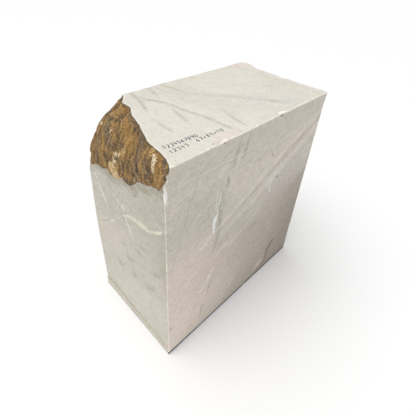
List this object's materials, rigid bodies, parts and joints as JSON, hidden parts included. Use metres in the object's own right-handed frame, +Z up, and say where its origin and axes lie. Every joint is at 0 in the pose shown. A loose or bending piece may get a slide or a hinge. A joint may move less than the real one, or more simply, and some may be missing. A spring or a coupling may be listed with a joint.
{
  "type": "marble block",
  "caption": "Upright sawn block of pale veined marble with a rough brown weathered break across the top of one end, standing on its flat sawn base.",
  "frame": {"origin": "on the ground, under the middle of the block's bounding box", "axes": "+X along the long side, away from the broken end; +Y through the block's thickness, from the big face that shows to the one behind; +Z up"},
  "size_m": [0.706, 0.381, 0.762],
  "materials": {
    "marble": "sawn, matte"
  },
  "bodies": {
    "root": {"marble_block": "marble"}
  },
  "joints": []
}
